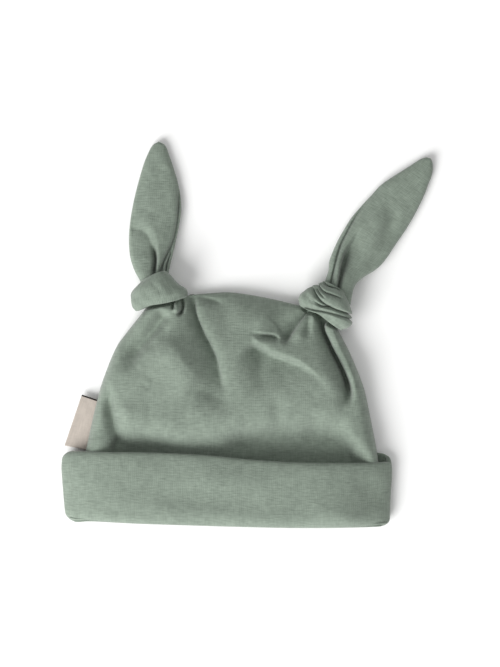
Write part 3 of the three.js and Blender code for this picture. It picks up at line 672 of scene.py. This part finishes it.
rightKnot = {
    "name": "knot_right_wraps",
    "node": "knot_right",
    "middle": (51, 97.7),
    "turn": -28,
    "reach": [(-8.4, 12.4, 14.6), (-7, 13.2, 15.8), (-4.6, 13.9, 16.8), (-1.7, 13.8, 17.3), (2, 12.8, 17),
              (4.5, 11.9, 15.8), (6.8, 10.5, 13.6), (8.6, 8.9, 11), (10.6, 6.8, 7.6)],
    "thick": [(-8.4, 17), (-5, 21), (-1, 22.2), (3, 22), (7, 19.4), (10.6, 14.4)],
    "crownRim": [(-13, -7.0), (-8.7, -7.2), (-5.5, -7.1), (-1, -6.5), (4.3, -7.2), (9.5, -8), (15, -8.4)],
    "earRim": [(-13, 8.6), (-6, 10.6), (1, 10.7), (5, 10.5), (9, 9.6), (15, 7)],
    "rimRadius": 1.1,
    "gap": 5,
    "creases": [
        fold("lowest crease", [(36, 97.6), (40.1, 96.1), (43.9, 94.9), (48.7, 93.9), (52.8, 92.8),
             (58.1, 91.2), (61.6, 90.1), (65.6, 88.8)], -2.8, (1, 0.9), (0.35, 0.4), (0.1, 0), 1.2),
        fold("short crease", [(44, 100.3), (46.8, 97.9), (49.2, 96.8), (52.8, 96.1), (55.4, 95.3)],
             -3.8, (0.5, 0.4), (1, 0.8), (0.3, 0.2), 1.2),
        fold("long crease", [(43.6, 107.6), (44.2, 105.2), (45.5, 102.7), (47.7, 100), (50.3, 98.1),
             (54.1, 96), (56.8, 94.6), (59.4, 93.6), (62.4, 92.6), (66, 91.4)], -3.8, (0.45, 0.4),
             (0.9, 0.8), (0.1, 0), 1.2),
        fold("inner crease", [(45.6, 106.6), (46.2, 105), (47.7, 103.1), (49.2, 101.6), (51.4, 100.2)],
             -2, (0.6, 0.5), (0.4, 0.4), (0.15, 0.4), 1.2),
        fold("upper crease", [(46.4, 109), (47.1, 107.3), (48.5, 105.4), (50.9, 103.7), (54.1, 102.6),
             (56.8, 101.5), (59.2, 100.5), (63, 99.6)], -2.7, (0.4, 0.45), (0.8, 0.9), (0.1, 0.25), 1.2),
        fold("rim crease", [(49.2, 109.4), (51, 107.8), (54, 106.6), (57, 105.8), (60.6, 103.6)],
             -2.6, (0.35, 0.4), (0.7, 0.7), (0.1, 0.2), 1.2),
        fold("last wrap", [(40, 103.6), (41.6, 101), (43.4, 98.4)], -0.6, (1.4, 1.2), (1, 1), (0.3, 0.4)),
        fold("hollow on the left", [(39.4, 99), (43, 99.4), (46, 97.6)], -0.8, (2.6, 2), (2, 1.4),
             (0.2, 0.3), 2),
    ],
}


def knotPlan(knot, across, along):  # a place on a knot, seen from above
    turn = math.radians(knot["turn"])
    axisAcross, axisAlong = (math.cos(turn), math.sin(turn)), (-math.sin(turn), math.cos(turn))
    return np.array(knot["middle"]) + np.outer(across, axisAcross) + np.outer(along, axisAlong)


def makeKnot(knot):
    low, high = boxMm(knot["node"])
    middleZ = (low[2] + high[2]) / 2
    columns, radius = knotShape["columns"], knot["rimRadius"]
    crownRim, earRim = lineThrough(knot["crownRim"], 100), lineThrough(knot["earRim"], 100)
    angle = np.pi - 2 * np.pi * np.arange(columns) / columns
    side, lift = np.cos(angle), np.sin(angle)
    rippleHeight, size, seed = knotShape["ripple"]

    def ringAt(v, narrow, shift):  # v along the knot, drawn in by narrow millimetres, moved by shift
        b = mix(knot["reach"][0][0], knot["reach"][-1][0], v)
        left, right = tableAt(knot["reach"], b)
        thick = tableAt(knot["thick"], b)[0]
        a = np.where(side < 0, left, right) * side
        bottom = np.interp(a, crownRim[:, 0], crownRim[:, 1])
        top = np.interp(a, earRim[:, 0], earRim[:, 1])
        along = mix(bottom, top, v) + shift
        height = np.sign(lift) * np.abs(lift) ** knotShape["squareness"] * thick / 2
        far = np.maximum(np.hypot(a, height), 1)
        x, y = knotPlan(knot, a, along).T
        dent = foldHeight(x, y, knot["creases"])
        dent = dent + rippleHeight * softNoise(x + 40, y + 3 * np.sign(lift), size, seed)
        keep = np.clip(1 + (dent - narrow) / far, *knotShape["widths"])
        return np.column_stack([knotPlan(knot, a * keep, along), middleZ + height * keep])

    turns = np.linspace(0.5, np.pi, knotShape["rimRows"])[:-1]
    rim = [(radius * (1 + math.cos(t)), radius * (1 - math.sin(t))) for t in turns]
    closing = knotShape["ends"] + rim
    rings = [ringAt(0, narrow, shift) for narrow, shift in closing]
    rings += [ringAt(v, 0, radius * (1 - 2 * v)) for v in np.linspace(0, 1, knotShape["rows"])[1:-1]]
    rings += [ringAt(1, narrow, -shift) for narrow, shift in closing[::-1]]
    points = np.array(rings)
    for k in range(3):
        points[..., k] = eased(points[..., k], ring=True)
    middleRing = points[len(points) // 2][:, [0, 2]]
    girth = np.hypot(*np.diff(middleRing, axis=0, append=middleRing[:1]).T)
    around = np.concatenate([[0], np.cumsum(girth)])
    length = np.linspace(0, knotShape["clothLength"], len(points))
    uv = np.stack(np.broadcast_arrays(length[:, None], around[None]), -1)
    piece = clothMesh(knot["name"], points, uv, ring=True, caps=True)
    return finishCloth(piece)


# The ears: each a tube lying flat
earShape = {
    "columns": 110,
    "rows": 190,
    "gather": 0.45,  # how much closer the mesh's columns stand at the sides
    "rowPower": 1.3,  # and its rows towards the tip
    "seam": 0.4,  # height of the side seams, as a share of the thickness
    "sideRoll": (0.3, 2.2, 0.5),  # share of the height gained at once at a side, how far in, steepness
    "bulge": 0.62,  # steepness of the rest
    "ripples": [(0.28, 7, 41), (0.12, 3.4, 42)],  # height, size and seed
    "backRipple": (0.1, 9, 43),
    "backCloth": 60,  # how far over on the cloth the back is cut
    "least": 0.5,  # thickness
    "fullAt": 3,  # how far in from the sides the folds and ripples have their full strength
}
leftEar = {
    "name": "ear_left_tube",
    "node": "ear_left",
    "left": [(-43, 104), (-45.6, 109), (-49.4, 116), (-51.8, 124.6), (-52, 137), (-49.7, 152.3),
             (-45.2, 169.5), (-41.9, 178), (-39.6, 181.8), (-36.7, 183.5)],
    "right": [(-31.4, 104), (-31.2, 109), (-31, 115), (-28.3, 127), (-25.3, 142), (-24.7, 151),
              (-26.6, 162.4), (-30.9, 176), (-33.1, 181.4), (-36.3, 183.5)],
    # share of the length, height of the underside, thickness
    "heights": [(0, 6.4, 8.6), (0.08, 6, 9.2), (0.2, 3.6, 9), (0.35, 1.8, 8), (0.55, 0.7, 7.2),
                (0.8, 0.3, 6), (0.94, 0.5, 4.6), (1, 1.4, 2.6)],
    "folds": [
        fold("side seam", [(-31.6, 175), (-29.3, 171.2), (-26.9, 165), (-25.8, 158.4), (-25.7, 151.3),
             (-26.1, 143.8), (-27.2, 136.3), (-29, 129.7), (-31.1, 125.4), (-34, 118.6), (-35.6, 112)],
             -4.6, (0.6, 0.4), (0.5, 0.9), (0.12, 0), 1.2),
        fold("edge crease", [(-33.2, 112), (-31.9, 119.4), (-30.2, 124.2), (-29, 129)], -4.2, (0.4, 0.4),
             (0.5, 0.6), (0, 0.4), 1.2),
        fold("dart", [(-38.6, 110), (-38.5, 116), (-38, 121), (-38.6, 126), (-40, 131)],
             -6.6, (0.7, 1.4), (0.5, 1), (0, 0.5), 1.8),
        fold("flap edge", [(-53, 137), (-48, 137.2), (-43.6, 135.4), (-40.8, 131), (-38.9, 125.6),
             (-38.1, 119), (-38.5, 112)], -1.7, (3, 0.8), (4, 5), (0.1, 0.1), 1.4),
        fold("ridge above the flap", [(-47, 141), (-42, 140), (-37.6, 133), (-36.3, 125), (-36.5, 116)],
             0.5, (5, 2), (3, 1.4), (0.3, 0)),
        fold("soft dent near the tip", [(-33, 172), (-36, 165), (-36, 156)], -0.5, (3, 4), (3, 3),
             (0.3, 0.4), 2),
    ],
}
rightEar = {
    "name": "ear_right_tube",
    "node": "ear_right",
    "left": [(48.6, 103), (50.6, 109), (52.8, 115.3), (53.4, 120.9), (56.9, 129.4), (60.4, 135.9),
             (65.8, 144.3), (75.9, 155.5), (81, 160.9), (88.5, 166), (96, 170.7), (101, 174),
             (104.4, 175.2), (106.6, 174.8)],
    "right": [(64.4, 97.4), (66.4, 106.6), (70.8, 111.4), (78.4, 116.3), (83.4, 121.7), (88.4, 129.2),
              (94, 137.4), (99, 146), (103.4, 155), (105.8, 161.3), (107.4, 165.3), (108.1, 169.4),
              (107.9, 172.6), (107, 174.4)],
    "heights": [(0, 6.8, 9), (0.09, 6.4, 9.4), (0.18, 4.6, 9.2), (0.32, 2.2, 8.4), (0.5, 0.8, 7.6),
                (0.8, 0.3, 6.2), (0.95, 0.5, 4.6), (1, 1.4, 2.8)],
    "folds": [
        fold("side seam", [(82, 162.2), (77.9, 157.8), (73.9, 153.2), (69.9, 147.7), (65.9, 141.6),
             (61.9, 134.2), (58.9, 127.8), (56.5, 119.3), (54.2, 110), (53, 104)], -2.8, (0.7, 0.5),
             (0.5, 0.4), (0.1, 0), 1.2),
        fold("base crease", [(57, 103), (57.8, 107), (59, 113.8), (60.2, 119.4), (62, 125), (64.6, 130)],
             -6.4, (0.4, 0.6), (0.5, 2.8), (0, 0.45), 1.6),
        fold("soft side of the base crease", [(58.6, 105), (60, 113.8), (61.4, 119.8), (63.6, 126),
             (67, 132.6), (71, 139)], -4.4, (0.9, 1.4), (3.4, 7), (0.38, 0.45), 1.4),
        fold("strip between the creases", [(55.4, 105), (57.4, 114), (58.4, 120), (61, 128)], 1,
             (1.2, 1.4), (1.1, 1.4), (0, 0.5)),
        fold("middle ridge", [(66, 118), (74, 130), (79.4, 140), (83.6, 150)], 1.5, (5, 4), (5, 3),
             (0.3, 0.35), 2),
        fold("dip beside the ridge", [(80, 128), (86, 138), (90, 150)], -1.2, (3, 4), (4, 4), (0.4, 0.3),
             2),
        fold("outer ridge", [(78, 121), (88, 136), (96, 152)], 0.6, (3, 4), (3, 3), (0.3, 0.4), 2),
    ],
}


def makeEar(ear):
    across = columnShares(earShape["columns"], earShape["gather"])
    along = 1 - (1 - np.linspace(0, 1, earShape["rows"])) ** earShape["rowPower"]
    left, right = alongLine(ear["left"], along), alongLine(ear["right"], along)
    width = np.hypot(*(right - left).T)[:, None]
    toSide = np.minimum(across, 1 - across)[None] * width
    half = np.maximum(width / 2, 0.5)
    low, thick = (v[:, None] for v in tableAt(ear["heights"], along))
    seam = low + earShape["seam"] * thick
    plan = left[:, None] * (1 - across[None, :, None]) + right[:, None] * across[None, :, None]
    x, y = plan[..., 0], plan[..., 1]
    first, reach, steepness = earShape["sideRoll"]
    rest = (1 - first) * rolled(toSide / half, 1, earShape["bulge"])
    bulge = first * rolled(toSide, reach, steepness) + rest
    edgeFade = rolled(toSide, earShape["fullAt"], 1)
    dents = foldHeight(x, y, ear["folds"]) + ripples(x, y, earShape["ripples"])
    rippleHeight, size, seed = earShape["backRipple"]
    top = seam + (1 - earShape["seam"]) * thick * bulge + dents * edgeFade
    under = seam - earShape["seam"] * thick * bulge
    under = under + rippleHeight * (1 + softNoise(x, y, size, seed)) * edgeFade
    top = np.maximum(eased(top), under + earShape["least"] * edgeFade)
    front = np.stack([x, y, top], -1)
    back = np.stack([x, y, under], -1)[:, ::-1][:, 1:-1]
    points = np.concatenate([front, back], 1)
    length = np.concatenate([[0], np.cumsum(np.hypot(*np.diff((left + right) / 2, axis=0).T))])
    fromMiddle = (across[None] - 0.5) * width
    uvFront = np.stack([fromMiddle, np.broadcast_to(length[:, None], fromMiddle.shape)], -1)
    uvBack = uvFront[:, ::-1][:, 1:-1] + [earShape["backCloth"], 0]
    piece = clothMesh(ear["name"], points, np.concatenate([uvFront, uvBack], 1), ring=True, caps=True)
    return finishCloth(piece, merge=0.002)


# The label: a folded tape
labelTape = {
    "length": 28.4,
    "rows": 50,
    "flatColumns": 26,  # on each side of its fold
    "bendColumns": 9,
    "endSlant": 0.14,  # how much shorter it is at the seam, for each millimetre of its reach
    "droop": 1.5,  # of its outer edge towards the surface below
    "leastDroop": 0.4,  # the share of it at the upper end
    "wave": (0.18, 27, 1.7, 0.6),  # height of its bends, a length, half waves in that length, start
    "tape": 0.45,
    "gap": 0.3,
    "turn": -18.9,
    "topCorner": (-76.9, 50),
    "reach": 13.5,
    "tuck": 0.6,  # how far it goes into the side seam
    "leastRoom": 2,  # between its outer edge and the seam
}


def makeLabel():
    low, high = boxMm("label")
    length, reach, tape = labelTape["length"], labelTape["reach"], labelTape["tape"]
    middleZ = (low[2] + high[2]) / 2
    half = (tape + labelTape["gap"]) / 2
    turns = np.linspace(0, math.pi, labelTape["bendColumns"])
    bend = [(half * (1 - math.sin(t)), half * math.cos(t)) for t in turns]
    flat = np.linspace(reach, half, labelTape["flatColumns"])[:-1]
    section = np.array([(d, half) for d in flat] + bend + [(d, -half) for d in flat[::-1]])
    run = np.concatenate([[0], np.cumsum(np.hypot(*np.diff(section, axis=0).T))])
    turn = math.radians(labelTape["turn"])
    axisIn = np.array([math.cos(turn), math.sin(turn)])
    axisDown = np.array([math.sin(turn), -math.cos(turn)])
    down = np.linspace(0, length, labelTape["rows"])
    topCorner = np.array(labelTape["topCorner"])
    seamX, seamY = alongLine(crown["left"], np.linspace(0, 1, 60)).T
    trim = np.interp(topCorner[1] + down * axisDown[1], seamY, seamX)
    waveHeight, waveLength, halfWaves, waveStart = labelTape["wave"]
    points, uv = [], []
    for row, d in enumerate(down):
        start = topCorner + d * axisDown
        slant = labelTape["endSlant"] * d / length
        room = max((trim[row] + labelTape["tuck"] - start[0]) / axisIn[0], labelTape["leastRoom"])
        inwards = np.minimum(section[:, 0] / reach, 1) * room
        free = 1 - inwards / room
        wave = waveHeight * math.sin(d / waveLength * math.pi * halfWaves + waveStart) * free
        plan = start + inwards[:, None] * (axisIn - slant * axisDown)
        least = labelTape["leastDroop"]
        droop = labelTape["droop"] * ramp(0, 1, free) * (least + (1 - least) * d / length)
        points.append(np.column_stack([plan, middleZ + section[:, 1] + wave - droop]))
        uv.append(np.column_stack([run, np.full(len(run), d)]))
    piece = clothMesh("label_tape", np.array(points), np.array(uv))
    return finishCloth(piece, tape, 0)


# The cloths

def addNode(tree, kind, **settings):
    node = tree.nodes.new(kind)
    for key, value in settings.items():
        setattr(node, key, value)
    return node


def mathNode(tree, operation, a, b=None, c=None):
    node = addNode(tree, "ShaderNodeMath", operation=operation)
    for socket, value in zip(node.inputs, (a, b, c)):
        if value is None:
            continue
        if isinstance(value, (int, float)):
            socket.default_value = value
        else:
            tree.links.new(value, socket)
    return node.outputs[0]


def noiseNode(tree, vector, scale, detail=2.0, stretch=None):
    if stretch:
        mapping = addNode(tree, "ShaderNodeMapping")
        tree.links.new(vector, mapping.inputs["Vector"])
        mapping.inputs["Scale"].default_value = stretch
        vector = mapping.outputs["Vector"]
    noise = addNode(tree, "ShaderNodeTexNoise")
    noise.inputs["Scale"].default_value = scale
    noise.inputs["Detail"].default_value = detail
    tree.links.new(vector, noise.inputs["Vector"])
    return noise.outputs["Fac"]


# what the two cloths share: a noise is scale, detail and, where it has them, stretches across and down
yarn = {
    "wander": (90, 1),
    "wanderWidth": 0.0016,  # metres that the columns and rows stray to and fro
    "slubs": (1, 3, (230, 1250, 1)),  # thick places in the yarn
    "streaks": (1, 2, (1050, 190, 1)),
    "mottle": (210, 3),
    "broad": (42, 1),  # uneven dye
    "rowShare": 0.55,  # of a stitch's height, the rest is from its column
    "stitchHeight": 0.4,
    "mottleHeight": 0.5,
    # what each adds to the tint, which is 0 for the dark and 1 for the light colour
    "slubTint": 1.25,
    "streakTint": 0.7,
    "mottleTint": 0.55,
    "broadTint": 0.4,
    "stitchTint": 0.1,
}


def unevenness(tree, place, key):  # one of the yarn's noises, even about 0
    return mathNode(tree, "SUBTRACT", noiseNode(tree, place, *yarn[key]), 0.5)


# Jersey or tape: fine columns and rows, thick places in the yarn, and soft uneven dye
def makeClothGroup():
    group = bpy.data.node_groups.new("clothYarn", "ShaderNodeTree")
    group.interface.new_socket("Place", in_out="INPUT", socket_type="NodeSocketVector")
    for name in ("Column", "Row", "Slant", "Slubs"):
        group.interface.new_socket(name, in_out="INPUT", socket_type="NodeSocketFloat")
    for name in ("Tint", "Height"):
        group.interface.new_socket(name, in_out="OUTPUT", socket_type="NodeSocketFloat")
    entry, leave = addNode(group, "NodeGroupInput"), addNode(group, "NodeGroupOutput")
    place = entry.outputs["Place"]
    apart = addNode(group, "ShaderNodeSeparateXYZ")
    group.links.new(place, apart.inputs[0])

    def calc(operation, *values):
        return mathNode(group, operation, *values)

    # the yarn wanders a little
    strayed = yarn["wanderWidth"]
    wander = calc("MULTIPLY_ADD", noiseNode(group, place, *yarn["wander"]), strayed, -strayed / 2)
    across = calc("DIVIDE", calc("ADD", apart.outputs["X"], wander), entry.outputs["Column"])
    down = calc("DIVIDE", calc("ADD", apart.outputs["Y"], wander), entry.outputs["Row"])
    # a column is high in its middle, and its rows slant away from there
    fromMiddle = calc("ABSOLUTE", calc("SUBTRACT", calc("FRACT", across), 0.5))
    column = calc("SUBTRACT", 1, calc("MULTIPLY", calc("POWER", fromMiddle, 2), 4))
    slanted = calc("MULTIPLY_ADD", fromMiddle, entry.outputs["Slant"], down)
    row = calc("MULTIPLY_ADD", calc("SINE", calc("MULTIPLY", slanted, 2 * math.pi)), 0.5, 0.5)
    columnPart = calc("MULTIPLY", column, 1 - yarn["rowShare"])
    stitch = calc("MULTIPLY_ADD", row, yarn["rowShare"], columnPart)
    slub = calc("MULTIPLY", unevenness(group, place, "slubs"), entry.outputs["Slubs"])
    streak, mottle, broad = (unevenness(group, place, key) for key in ("streaks", "mottle", "broad"))
    height = calc("ADD", calc("MULTIPLY", stitch, yarn["stitchHeight"]), slub)
    height = calc("MULTIPLY_ADD", mottle, yarn["mottleHeight"], height)
    uneven = {"slubTint": slub, "streakTint": streak, "mottleTint": mottle, "broadTint": broad,
              "stitchTint": calc("SUBTRACT", stitch, 0.5)}
    tint = 0.5
    for key, part in uneven.items():
        tint = calc("MULTIPLY_ADD", part, yarn[key], tint)
    group.links.new(tint, leave.inputs["Tint"])
    group.links.new(height, leave.inputs["Height"])
    return group


jersey = {
    "light": (0.252, 0.303, 0.25),
    "dark": (0.145, 0.178, 0.146),
    "column": 0.00105,  # width of a column of stitches, in metres
    "row": 0.0008,
    "slant": 0.9,
    "slubs": 1.0,
    "bumpDepth": 0.00024,
    "roughness": 0.92,
    "gloss": 0.2,
    "sheen": 0.25,
    "sheenRoughness": 0.5,
}
tapeCloth = {
    "light": (0.52, 0.465, 0.41),
    "dark": (0.36, 0.32, 0.285),
    "column": 0.0007,
    "row": 0.0005,
    "slant": 0.0,
    "slubs": 0.35,
    "bumpDepth": 0.0001,
    "roughness": 0.85,
    "gloss": 0.2,
    "sheen": 0.1,
    "sheenRoughness": 0.5,
    "endShadeColor": (0.03, 0.025, 0.022),  # painted shade along the tape's upper end, where its two layers meet
    # how far the painted shade reaches in from the tape's end
    "endShadeWidth": 0.0008,
}


colorA, colorB, mixedColor = 6, 7, 2  # a Mix node's sockets, whose names are there more than once


def makeCloth(name, finish, group):
    material = bpy.data.materials.new(name)
    material.use_nodes = True
    tree = material.node_tree
    shader = tree.nodes["Principled BSDF"]
    stitches = addNode(tree, "ShaderNodeGroup", node_tree=group)
    uv = addNode(tree, "ShaderNodeUVMap", uv_map="cloth")
    tree.links.new(uv.outputs["UV"], stitches.inputs["Place"])
    for key, socket in (("column", "Column"), ("row", "Row"), ("slant", "Slant"), ("slubs", "Slubs")):
        stitches.inputs[socket].default_value = finish[key]
    colors = addNode(tree, "ShaderNodeMix", data_type="RGBA")
    colors.inputs[colorA].default_value = finish["dark"] + (1,)
    colors.inputs[colorB].default_value = finish["light"] + (1,)
    tree.links.new(stitches.outputs["Tint"], colors.inputs["Factor"])
    color = colors.outputs[mixedColor]
    # painted shade: a near-black band along the tape's upper end stands in for the shade where its layers
    # meet
    if "endShadeColor" in finish:
        apart = addNode(tree, "ShaderNodeSeparateXYZ")
        tree.links.new(uv.outputs["UV"], apart.inputs[0])
        ends = addNode(tree, "ShaderNodeMix", data_type="RGBA")
        ends.inputs[colorB].default_value = finish["endShadeColor"] + (1,)
        inEndShade = mathNode(tree, "LESS_THAN", apart.outputs["Y"], finish["endShadeWidth"])
        tree.links.new(inEndShade, ends.inputs["Factor"])
        tree.links.new(color, ends.inputs[colorA])
        color = ends.outputs[mixedColor]
    tree.links.new(color, shader.inputs["Base Color"])
    bump = addNode(tree, "ShaderNodeBump")
    bump.inputs["Strength"].default_value = 1
    bump.inputs["Distance"].default_value = finish["bumpDepth"]
    tree.links.new(stitches.outputs["Height"], bump.inputs["Height"])
    tree.links.new(bump.outputs["Normal"], shader.inputs["Normal"])
    shader.inputs["Roughness"].default_value = finish["roughness"]
    shader.inputs["Specular IOR Level"].default_value = finish["gloss"]
    shader.inputs["Sheen Weight"].default_value = finish["sheen"]
    shader.inputs["Sheen Roughness"].default_value = finish["sheenRoughness"]
    return material


# The hat put together

setStudio()
yarnGroup = makeClothGroup()
jerseyCloth = makeCloth("jerseyCloth", jersey, yarnGroup)
labelCloth = makeCloth("labelCloth", tapeCloth, yarnGroup)
print("materials made")


def place(piece, material, slot, *nodes):
    piece.data.materials.clear()
    piece.data.materials.append(material)
    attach(piece, "root")
    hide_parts(*nodes)
    print(piece.name, "made,", len(piece.data.polygons), "faces")
    return piece


crownFrontPiece = place(makeCrownFront(), jerseyCloth, "jersey", "crown")
crownBackPiece = place(makeCrownBack(), jerseyCloth, "jersey", "crown")
cuffPiece = place(makeCuff(), jerseyCloth, "jersey", "cuff")
leftKnotPiece = place(makeKnot(leftKnot), jerseyCloth, "jersey", "knot_left")
rightKnotPiece = place(makeKnot(rightKnot), jerseyCloth, "jersey", "knot_right")
leftEarPiece = place(makeEar(leftEar), jerseyCloth, "jersey", "ear_left")
rightEarPiece = place(makeEar(rightEar), jerseyCloth, "jersey", "ear_right")
labelPiece = place(makeLabel(), labelCloth, "label_tape", "label")
